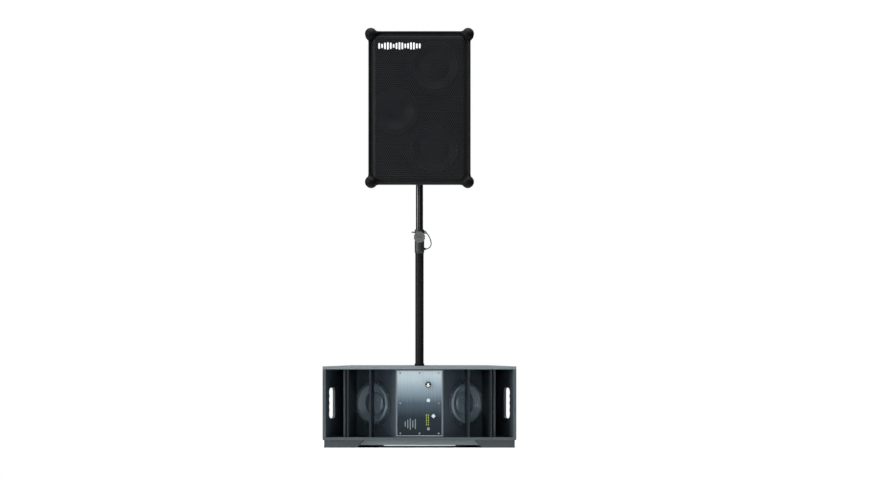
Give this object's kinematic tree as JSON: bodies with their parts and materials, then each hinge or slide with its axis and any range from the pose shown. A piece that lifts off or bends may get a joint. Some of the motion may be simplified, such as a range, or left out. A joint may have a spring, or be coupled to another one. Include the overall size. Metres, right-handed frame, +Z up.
{
  "type": "pa speaker",
  "caption": "Grille-fronted battery loudspeaker with rubber corners on a telescopic pole that stands on a wide subwoofer with angled drivers, vanes and an amplifier plate.",
  "frame": {"origin": "on the floor under the pole's axis, at the middle of the subwoofer", "axes": "+Z up along the pole, the fronts face -Y, +X to the right seen from the front"},
  "size_m": [0.802, 0.4, 1.74],
  "materials": {
    "painted_ply": "satin textured paint",
    "dark_ply": "matt dark paint",
    "skid_ply": "satin textured paint",
    "amp_metal": "vertical brushed, dark anodised",
    "amp_core": "dull",
    "screw_steel": "zinc",
    "knob_chrome": "polished",
    "button_plastic": "satin",
    "meter_light": "lit lens",
    "socket_metal": "satin nickel",
    "basket_metal": "black powder coat",
    "magnet_steel": "black passivated",
    "cone_paper": "coated pulp, rubber surround",
    "pole_black": "black satin powder coat",
    "pole_plastic": "moulded nylon",
    "pin_steel": "bright zinc",
    "cord_black": "coated wire rope",
    "soft_rubber": "matt",
    "cabinet_black": "black textured coating",
    "frame_black": "black anodised",
    "grille_black": "black powder coat, perforated",
    "panel_plastic": "matt moulded",
    "guide_plastic": "satin moulded",
    "battery_case": "matt moulded"
  },
  "bodies": {
    "subwoofer": {"sub_top_panel": "painted_ply", "sub_bottom_panel": "painted_ply", "sub_back_panel": "dark_ply", "plinth_rail": "skid_ply", "amp_bay": "dark_ply", "amp_plate": "amp_metal", "amp_module": "amp_core", "screws": "screw_steel", "level_meter": "meter_light", "input_socket": "socket_metal", "pole_cup": "pole_black", "stop_ring": "soft_rubber", "lower_tube": "pole_black", "clamp_collar": "pole_plastic", "sub_side_panel_left": "painted_ply", "sub_side_panel_right": "painted_ply", "sub_baffle_left": "dark_ply", "sub_baffle_right": "dark_ply", "chamber_wall_left": "dark_ply", "chamber_wall_right": "dark_ply", "outer_vane_left": "painted_ply", "outer_vane_right": "painted_ply", "inner_vane_left": "painted_ply", "inner_vane_right": "painted_ply", "skid_left": "skid_ply", "skid_right": "skid_ply", "sub_basket_left": "basket_metal", "sub_basket_right": "basket_metal", "sub_cone_left": "cone_paper", "sub_cone_right": "cone_paper"},
    "level_knob": {"level_knob": "knob_chrome"},
    "mode_button": {"mode_button": "button_plastic"},
    "sync_button": {"sync_button": "button_plastic"},
    "clamp_knob": {"clamp_knob": "pole_plastic"},
    "lock_pin": {"lock_pin": "pin_steel", "pin_lanyard": "cord_black"},
    "pole_upper": {"upper_tube": "pole_black", "pole_adaptor": "pole_plastic"},
    "speaker": {"cabinet_shell": "cabinet_black", "front_frame": "frame_black", "grille": "grille_black", "speaker_baffle": "cabinet_black", "waveguide": "guide_plastic", "horn_driver": "magnet_steel", "corner_bumpers": "soft_rubber", "pole_socket": "pole_plastic", "control_panel": "panel_plastic", "jacks": "socket_metal", "speaker_amp": "amp_core", "battery": "battery_case", "hatch_hinge": "screw_steel", "side_handle_left": "panel_plastic", "side_handle_right": "panel_plastic", "woofer_basket_lower": "basket_metal", "woofer_basket_upper": "basket_metal", "woofer_cone_lower": "cone_paper", "woofer_cone_upper": "cone_paper"},
    "volume_knob": {"volume_knob": "panel_plastic"},
    "power_button": {"power_button": "panel_plastic"},
    "battery_hatch": {"battery_hatch": "panel_plastic"}
  },
  "joints": [
    {"name": "pole_slide", "type": "slide", "parent": "subwoofer", "child": "pole_upper", "axis": [0, 0, 1], "range_m": [-0.12, 0.24]},
    {"name": "speaker_swivel", "type": "hinge", "parent": "pole_upper", "child": "speaker", "pos_m": [0, 0, 1.15], "axis": [0, 0, 1], "continuous": true},
    {"name": "clamp_turn", "type": "hinge", "parent": "subwoofer", "child": "clamp_knob", "pos_m": [0, -0.034, 0.872], "axis": [0, -1, 0], "continuous": true},
    {"name": "pin_pull", "type": "slide", "parent": "subwoofer", "child": "lock_pin", "axis": [1, 0, 0], "range_m": [0, 0.05]},
    {"name": "level_turn", "type": "hinge", "parent": "subwoofer", "child": "level_knob", "pos_m": [0.036, -0.18, 0.261], "axis": [0, -1, 0], "range_deg": [-150, 150]},
    {"name": "mode_press", "type": "slide", "parent": "subwoofer", "child": "mode_button", "axis": [0, 1, 0], "range_m": [0, 0.0015], "stiffness_N_per_m": 400},
    {"name": "sync_press", "type": "slide", "parent": "subwoofer", "child": "sync_button", "axis": [0, 1, 0], "range_m": [0, 0.0015], "stiffness_N_per_m": 400},
    {"name": "volume_turn", "type": "hinge", "parent": "speaker", "child": "volume_knob", "pos_m": [-0.045, 0.126, 1.572], "axis": [0, 1, 0], "range_deg": [-150, 150]},
    {"name": "power_press", "type": "slide", "parent": "speaker", "child": "power_button", "axis": [0, -1, 0], "range_m": [0, 0.0015], "stiffness_N_per_m": 400},
    {"name": "hatch_swing", "type": "hinge", "parent": "speaker", "child": "battery_hatch", "pos_m": [-0.1145, 0.1538, 1.24], "axis": [0, 0, 1], "range_deg": [0, 110]}
  ]
}
